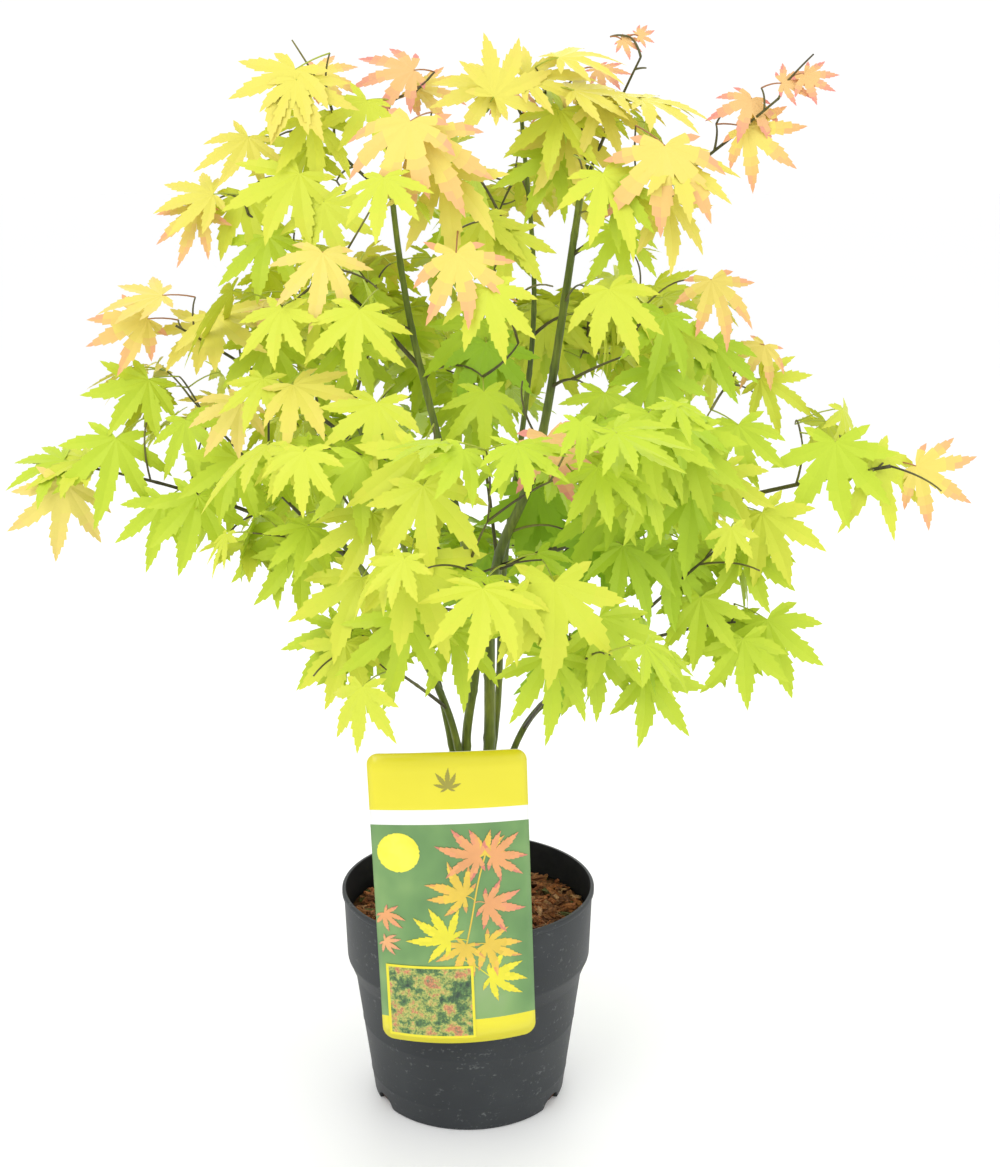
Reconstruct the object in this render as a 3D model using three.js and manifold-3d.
// A potted Japanese maple: a black nursery pot with compost and a plant label, a short trunk that forks
// just above the compost, thin arching stems, side boughs, and the pads of foliage that they carry.
// Millimetres, +Z up. The origin is the centre of the pot's flat underside, and -Y is the front.
import * as THREE from "three";
import { mergeVertices } from "three/addons/utils/BufferGeometryUtils.js";
import Module from "manifold-3d";

const wasm = await Module();
wasm.setup();

// Driving sizes
const clearance = 0.4; // left between solids that touch
const pot = {
  height: 166,
  rimRadius: 95,
  lipHeight: 4,
  bandTopRadius: 93.5,
  bandFootRadius: 91.5,
  bandFootHeight: 112,
  shoulderRadius: 86,
  shoulderHeight: 99,
  baseRadius: 73,
  wall: 2,
  floor: 3,
  sides: 28,
};
const drain = { count: 3, width: 22, height: 9, firstAngle: 90 }; // degrees, the first one at the back
const compost = { edgeHeight: 142, crownHeight: 146, flatRadius: 22, roughness: 1.6 };
const card = {
  width: 110,
  height: 221,
  thickness: 0.8,
  cornerRadius: 8,
  footHeight: 86,
  middle: [-9, -97.2], // X and Y of its middle line
  lean: 2, // degrees, its head leans to the left
  footWrap: 13, // how far the side edges of its foot bend back round the pot
  headWrap: 2,
};
const tongue = {
  width: 22,
  thickness: 1.4,
  headHeight: 188,
  foldHeight: 176,
  footHeight: 128,
  insideRim: 14, // behind the card, where it turns down
};
const trunk = { foot: [6, 0], top: [7, 1], topHeight: 196, radius: 8.2, topRadius: 9.4, flare: 5 };

// Stems that rise from the fork, each through a few places, and its radius at the foot and at the tip
const stems = {
  right_stem: {
    radii: [4.8, 2.3],
    through: [[10, -1, 190], [16, 0, 275], [20, 4, 405], [52, -2, 500], [82, 0, 695]],
  },
  left_stem: {
    radii: [3.8, 1.8],
    through: [[4, -3, 190], [-1, -6, 277], [6, -12, 390], [-38, -9, 590], [-54, 0, 715]],
  },
  middle_stem: {
    radii: [2.8, 1.5],
    through: [[8, 6, 190], [22, 13, 300], [27, 26, 405], [48, 35, 586], [39, 40, 727]],
  },
  side_left_stem: {
    radii: [2.6, 1.7],
    through: [[1, 4, 190], [-16, 12, 292], [-44, 30, 410], [-82, 32, 520]],
  },
  low_left_stem: {
    radii: [3.0, 2.0],
    through: [[0, -1, 190], [-9, -13, 290], [-39, -25, 365], [-88, -30, 440]],
  },
  low_right_stem: {
    radii: [2.8, 1.9],
    through: [[13, 1, 190], [36, -6, 280], [66, -10, 322], [120, -14, 362]],
  },
};

// Half sizes of the pads of foliage
const pads = {
  deep: [76, 64, 44],
  broad: [66, 60, 39],
  round: [56, 52, 35],
  long: [70, 50, 33],
  small: [42, 40, 26],
  tuft: [25, 24, 19],
};

// Masses of foliage: the kind of pad and the place of its middle
const masses = {
  top_tip: ["tuft", 120, 0, 762],
  top_left_tip: ["small", -117, -18, 739],
  top_left: ["small", -42, 24, 740],
  top_middle: ["small", 25, -22, 748],
  top_right: ["small", 92, 26, 728],
  left_shoulder: ["round", -34, -74, 686],
  right_shoulder: ["broad", 130, -60, 668],
  upper_right_tip: ["small", 208, -35, 734],
  upper_left: ["broad", -148, -12, 656],
  left_middle: ["long", -200, -8, 582],
  left_inner: ["deep", -92, -58, 598],
  centre_upper: ["deep", 30, -98, 610],
  right_upper: ["broad", 124, -12, 594],
  far_left: ["long", -262, -20, 484],
  left_arm: ["round", -205, 52, 522],
  left_low: ["broad", -150, -66, 452],
  left_centre: ["deep", -62, -112, 516],
  centre_front: ["broad", 48, -152, 528],
  right_centre: ["deep", 132, -76, 514],
  right_arm: ["long", 216, 34, 530],
  right_side: ["broad", 182, -60, 446],
  far_right: ["long", 293, -28, 487],
  right_low: ["round", 192, -24, 374],
  bottom_right: ["broad", 80, -134, 380],
  bottom_left: ["broad", -70, -116, 384],
  bottom_front: ["broad", 2, -180, 452],
  back_top: ["broad", 20, 100, 672],
  back_upper_left: ["deep", -96, 108, 586],
  back_upper_right: ["deep", 112, 112, 578],
  back_left: ["deep", -120, 130, 460],
  back_middle: ["deep", 8, 178, 520],
  back_right: ["deep", 128, 132, 446],
  back_low: ["round", 4, 118, 392],
};

// Side boughs: the limb that each leaves and how far along it, the mass that it enters, how much it
// bows upwards, and its radius at the foot
const boughs = {
  upper_left_bough: ["left_stem", 0.7, "upper_left", 14, 1.7],
  top_left_bough: ["left_stem", 0.92, "top_left_tip", -10, 1.3],
  top_right_bough: ["right_stem", 0.96, "top_tip", 6, 1.4],
  upper_right_bough: ["right_stem", 0.88, "upper_right_tip", -6, 1.6],
  left_bough: ["side_left_stem", 0.9, "left_middle", 10, 1.6],
  left_arm_bough: ["low_left_stem", 0.86, "left_arm", -8, 1.6],
  far_left_bough: ["low_left_stem", 0.94, "far_left", 16, 1.8],
  bottom_left_bough: ["low_left_stem", 0.45, "bottom_left", 6, 1.4],
  far_right_bough: ["right_stem", 0.43, "far_right", 12, 2.4],
  right_side_bough: ["low_right_stem", 0.8, "right_side", 6, 1.5],
  right_low_bough: ["low_right_stem", 0.94, "right_low", 6, 1.5],
  bottom_right_bough: ["low_right_stem", 0.5, "bottom_right", 8, 1.4],
  front_bough: ["right_stem", 0.36, "bottom_front", 10, 1.5],
  back_left_bough: ["side_left_stem", 0.5, "back_left", 8, 1.5],
  back_bough: ["middle_stem", 0.36, "back_middle", 10, 1.6],
  back_right_bough: ["middle_stem", 0.3, "back_right", 10, 1.6],
};

// Sides round a limb and steps along it
const trunkMesh = [8, 5];
const stemMesh = [6, 8];
const boughMesh = [5, 5];
const padDetail = 2;
const tuftDetail = 1;
const padDroop = 0.35; // of half the pad's depth, from its middle to its edge

const matte = (color, roughness) => new THREE.MeshStandardMaterial({ color, roughness, metalness: 0 });
const materials = {
  pot: matte("#3e4246", 0.62),
  compost: matte("#4f3020", 0.95),
  label: matte("#f5e52b", 0.35),
  bark: matte("#5c6b20", 0.7),
};

// The foliage turns from lime to yellow between two heights.
const foliage = {
  lime: new THREE.Color("#b9d832"),
  yellow: new THREE.Color("#f5e66a"),
  from: 420,
  to: 740,
};

// Solids

function solidOf(geometry) {
  const bare = geometry.clone();
  bare.deleteAttribute("normal");
  bare.deleteAttribute("uv");
  const merged = mergeVertices(bare, 1e-3);
  const vertProperties = merged.getAttribute("position").array;
  const triVerts = new Uint32Array(merged.index.array);
  return new wasm.Manifold(new wasm.Mesh({ numProp: 3, vertProperties, triVerts }));
}

function geometryOf(solid) {
  const { vertProperties, triVerts } = solid.getMesh();
  const geometry = new THREE.BufferGeometry();
  geometry.setAttribute("position", new THREE.Float32BufferAttribute(vertProperties, 3));
  geometry.setIndex(new THREE.Uint32BufferAttribute(triVerts, 1));
  geometry.computeVertexNormals();
  return geometry;
}

// Takes the cutters away and keeps the largest piece that is left.
function carve(solid, cutters) {
  const left = cutters.reduce((rest, cutter) => rest.subtract(cutter), solid);
  const pieces = left.decompose();
  return pieces.reduce((best, piece) => (piece.volume() > best.volume() ? piece : best));
}

// Takes the cutters away and keeps the piece that starts at the place given.
function carveFrom(solid, cutters, start) {
  const left = cutters.reduce((rest, cutter) => rest.subtract(cutter), solid);
  const distance = (piece) => {
    const { min, max } = piece.boundingBox();
    const box = new THREE.Box3(new THREE.Vector3(...min), new THREE.Vector3(...max));
    return box.distanceToPoint(start);
  };
  return left.decompose().reduce((best, piece) => (distance(piece) < distance(best) ? piece : best));
}

// Pot, compost and label

function outerWall(height) {
  if (height >= pot.bandFootHeight) {
    const along = (height - pot.bandFootHeight) / (pot.height - pot.lipHeight - pot.bandFootHeight);
    return THREE.MathUtils.lerp(pot.bandFootRadius, pot.bandTopRadius, along);
  }
  if (height >= pot.shoulderHeight) {
    const along = (height - pot.shoulderHeight) / (pot.bandFootHeight - pot.shoulderHeight);
    return THREE.MathUtils.lerp(pot.shoulderRadius, pot.bandFootRadius, along);
  }
  return THREE.MathUtils.lerp(pot.baseRadius, pot.shoulderRadius, height / pot.shoulderHeight);
}

const wallHeights = [pot.floor, pot.shoulderHeight, pot.bandFootHeight];

function turned(profile) {
  const outline = profile.map(([radius, height]) => new THREE.Vector2(radius, height));
  return new THREE.LatheGeometry(outline, pot.sides).rotateX(Math.PI / 2);
}

function drainArch(angle) {
  const arch = new THREE.Shape();
  arch.moveTo(-drain.width / 2, -1);
  arch.lineTo(drain.width / 2, -1);
  arch.lineTo(drain.width / 2, drain.height * 0.4);
  arch.lineTo(drain.width * 0.3, drain.height);
  arch.lineTo(-drain.width * 0.3, drain.height);
  arch.lineTo(-drain.width / 2, drain.height * 0.4);
  arch.closePath();
  const depth = 14;
  return new THREE.ExtrudeGeometry(arch, { depth, bevelEnabled: false })
    .rotateX(Math.PI / 2)
    .translate(0, pot.baseRadius + depth / 2, 0)
    .rotateZ(THREE.MathUtils.degToRad(angle - 90));
}

function potSolid() {
  const lipFoot = pot.height - pot.lipHeight;
  const outside = [pot.shoulderHeight, pot.bandFootHeight, lipFoot].map((height) => {
    return [outerWall(height), height];
  });
  const inside = wallHeights.map((height) => [outerWall(height) - pot.wall, height]).reverse();
  const body = solidOf(
    turned([
      [0, 0],
      [pot.baseRadius - 2, 0],
      [pot.baseRadius, 2],
      ...outside,
      [pot.rimRadius, lipFoot],
      [pot.rimRadius, pot.height - 1],
      [pot.rimRadius - 1, pot.height],
      [pot.bandTopRadius - pot.wall, pot.height],
      ...inside,
      [0, pot.floor],
    ]),
  );
  const step = 360 / drain.count;
  const arches = Array.from({ length: drain.count }, (_, i) => {
    return solidOf(drainArch(drain.firstAngle + i * step));
  });
  return carve(body, arches);
}

function compostSolid() {
  const inset = pot.wall + clearance;
  const wall = wallHeights.map((height) => [outerWall(height) - inset, height + clearance]);
  const edge = outerWall(compost.edgeHeight) - inset;
  const geometry = turned([
    [0, pot.floor + clearance],
    ...wall,
    [edge, compost.edgeHeight],
    [edge * 0.65, compost.edgeHeight + 1.5],
    [compost.flatRadius, compost.crownHeight],
    [0, compost.crownHeight],
  ]);
  const position = geometry.getAttribute("position");
  for (let i = 0; i < position.count; i += 1) {
    const radius = Math.hypot(position.getX(i), position.getY(i));
    const angle = Math.atan2(position.getY(i), position.getX(i));
    const isLoose = position.getZ(i) > compost.edgeHeight + 0.5 && radius > compost.flatRadius + 1;
    const heap = Math.sin(5 * angle + radius * 0.2) + 0.6 * Math.sin(8 * angle - radius * 0.5);
    position.setZ(i, position.getZ(i) + (isLoose ? compost.roughness * heap : 0));
  }
  return solidOf(geometry);
}

function roundedRectangle(width, height, radius) {
  const [x, y] = [width / 2 - radius, height / 2 - radius];
  const outline = new THREE.Shape();
  outline.absarc(x, y, radius, 0, Math.PI / 2);
  outline.absarc(-x, y, radius, Math.PI / 2, Math.PI);
  outline.absarc(-x, -y, radius, Math.PI, 1.5 * Math.PI);
  outline.absarc(x, -y, radius, 1.5 * Math.PI, 2 * Math.PI);
  return outline;
}

// The card is flat at its head and wrapped round the pot at its foot, in front of the rim.
function bentCard() {
  const sheet = new THREE.BoxGeometry(card.width, card.thickness, card.height, 8, 1, 3);
  const position = sheet.getAttribute("position");
  for (let i = 0; i < position.count; i += 1) {
    const up = position.getZ(i) / card.height + 0.5;
    const across = position.getX(i) / (card.width / 2);
    const wrap = THREE.MathUtils.lerp(card.footWrap, card.headWrap, up);
    position.setY(i, position.getY(i) + wrap * across ** 2);
  }
  const depth = 60;
  const corners = new THREE.ExtrudeGeometry(roundedRectangle(card.width, card.height, card.cornerRadius), {
    depth,
    bevelEnabled: false,
    curveSegments: 3,
  });
  corners.rotateX(Math.PI / 2).translate(0, depth / 2, 0);
  return solidOf(sheet).intersect(solidOf(corners));
}

// The tongue runs from the back of the card over the rim and down into the compost.
function tongueSolid(grow) {
  const side = new THREE.Shape();
  const middle = card.footHeight + card.height / 2;
  const head = tongue.headHeight - middle;
  const fold = tongue.foldHeight - middle;
  const foot = tongue.footHeight - grow - middle;
  const [near, far] = [tongue.insideRim - grow, tongue.insideRim + tongue.thickness + grow];
  side.moveTo(0, head - tongue.thickness);
  side.lineTo(near, fold - tongue.thickness);
  side.lineTo(near, foot);
  side.lineTo(far, foot);
  side.lineTo(far, fold);
  side.lineTo(0, head + tongue.thickness);
  side.closePath();
  const depth = tongue.width + 2 * grow;
  const strip = new THREE.ExtrudeGeometry(side, { depth, bevelEnabled: false });
  strip.translate(0, 0, -depth / 2).rotateX(Math.PI / 2).rotateZ(Math.PI / 2);
  return solidOf(strip);
}

function inFrontOfPot(solid) {
  const [x, y] = card.middle;
  return solid.rotate(0, -card.lean, 0).translate(x, y, card.footHeight + card.height / 2);
}

// Limbs

function curveThrough(places) {
  const points = places.map((place) => new THREE.Vector3(...place));
  return new THREE.CatmullRomCurve3(points, false, "catmullrom", 0.5);
}

// A round limb that tapers along a curve, flares at its foot, and can be made fatter all over.
function limbSolid(curve, [footRadius, tipRadius], [sides, steps], flare = 0, grow = 0) {
  const limb = new THREE.CylinderGeometry(1, 1, 1, sides, steps);
  const frames = curve.computeFrenetFrames(steps);
  const position = limb.getAttribute("position");
  for (let i = 0; i < position.count; i += 1) {
    const step = Math.round((position.getY(i) + 0.5) * steps);
    const along = step / steps;
    const radius = THREE.MathUtils.lerp(footRadius, tipRadius, along) + flare * Math.exp(-7 * along) + grow;
    const overhang = step === 0 ? -grow : grow * (step === steps);
    const place = curve
      .getPointAt(along)
      .addScaledVector(frames.normals[step], position.getX(i) * radius)
      .addScaledVector(frames.binormals[step], -position.getZ(i) * radius)
      .addScaledVector(frames.tangents[step], overhang);
    position.setXYZ(i, place.x, place.y, place.z);
  }
  return solidOf(limb);
}

// A bough leaves its parent limb and bows to the middle of the mass that it carries.
function boughCurve(parentCurve, along, massName, bow) {
  const start = parentCurve.getPointAt(along);
  const end = new THREE.Vector3(...masses[massName].slice(1));
  const middle = start.clone().lerp(end, 0.5);
  middle.z += bow;
  return new THREE.QuadraticBezierCurve3(start, middle, end);
}

// Foliage

// An uneven, lobed pad whose edge droops. Each mass has its own lobes.
function massSolid([kind, x, y, z], order, grow = 0) {
  const half = pads[kind];
  const pad = new THREE.IcosahedronGeometry(1, kind === "tuft" ? tuftDetail : padDetail);
  const position = pad.getAttribute("position");
  const lobes = 3 + (order % 3);
  for (let i = 0; i < position.count; i += 1) {
    const way = new THREE.Vector3().fromBufferAttribute(position, i);
    const flat = Math.hypot(way.x, way.y);
    const angle = Math.atan2(way.y, way.x);
    const lobed = 0.13 * Math.sin(lobes * angle + order) + 0.07 * Math.sin((lobes + 4) * angle - 2 * order);
    const lumpy = 0.1 * Math.sin(4 * way.x + order) * Math.cos(4 * way.y - order);
    const swell = 1 + flat * lobed + lumpy;
    const droop = padDroop * half[2] * (flat ** 2 - 0.5);
    position.setXYZ(
      i,
      x + way.x * (half[0] * swell + grow),
      y + way.y * (half[1] * swell + grow),
      z + way.z * (half[2] * swell + grow) - droop,
    );
  }
  return solidOf(pad);
}

// Assembly

const maple = new THREE.Group();

function addPart(name, solid, material) {
  const mesh = new THREE.Mesh(geometryOf(solid), material);
  mesh.name = name;
  maple.add(mesh);
}

const trunkCurve = curveThrough([
  [...trunk.foot, compost.crownHeight + clearance],
  [...trunk.foot, compost.crownHeight + 20],
  [...trunk.top, trunk.topHeight],
]);
const trunkRadii = [trunk.radius, trunk.topRadius];
const limbCurves = Object.fromEntries(
  Object.entries(stems).map(([name, { through }]) => [name, curveThrough(through)]),
);

addPart("pot", potSolid(), materials.pot);
addPart("compost", compostSolid().subtract(inFrontOfPot(tongueSolid(clearance))), materials.compost);
addPart("label_card", inFrontOfPot(bentCard().add(tongueSolid(0))), materials.label);
addPart("trunk", limbSolid(trunkCurve, trunkRadii, trunkMesh, trunk.flare), materials.bark);

const thickLimbs = [limbSolid(trunkCurve, trunkRadii, trunkMesh, trunk.flare, clearance)];
for (const [name, { radii }] of Object.entries(stems)) {
  const curve = limbCurves[name];
  addPart(name, carve(limbSolid(curve, radii, stemMesh), thickLimbs), materials.bark);
  thickLimbs.push(limbSolid(curve, radii, stemMesh, 0, clearance));
}

const thickMasses = [];
Object.entries(masses).forEach(([name, mass], order) => {
  const solid = carve(massSolid(mass, order), [...thickLimbs, ...thickMasses]);
  thickMasses.push(massSolid(mass, order, clearance));
  const ripeness = THREE.MathUtils.smoothstep(mass[3], foliage.from, foliage.to);
  addPart(name, solid, matte(foliage.lime.clone().lerp(foliage.yellow, ripeness), 0.8));
});

for (const [name, [parent, along, massName, bow, radius]] of Object.entries(boughs)) {
  const curve = boughCurve(limbCurves[parent], along, massName, bow);
  const radii = [radius, radius * 0.5];
  const cutters = [...thickLimbs, ...thickMasses];
  addPart(name, carveFrom(limbSolid(curve, radii, boughMesh), cutters, curve.getPoint(0)), materials.bark);
  thickLimbs.push(limbSolid(curve, radii, boughMesh, 0, clearance));
}

export default maple;
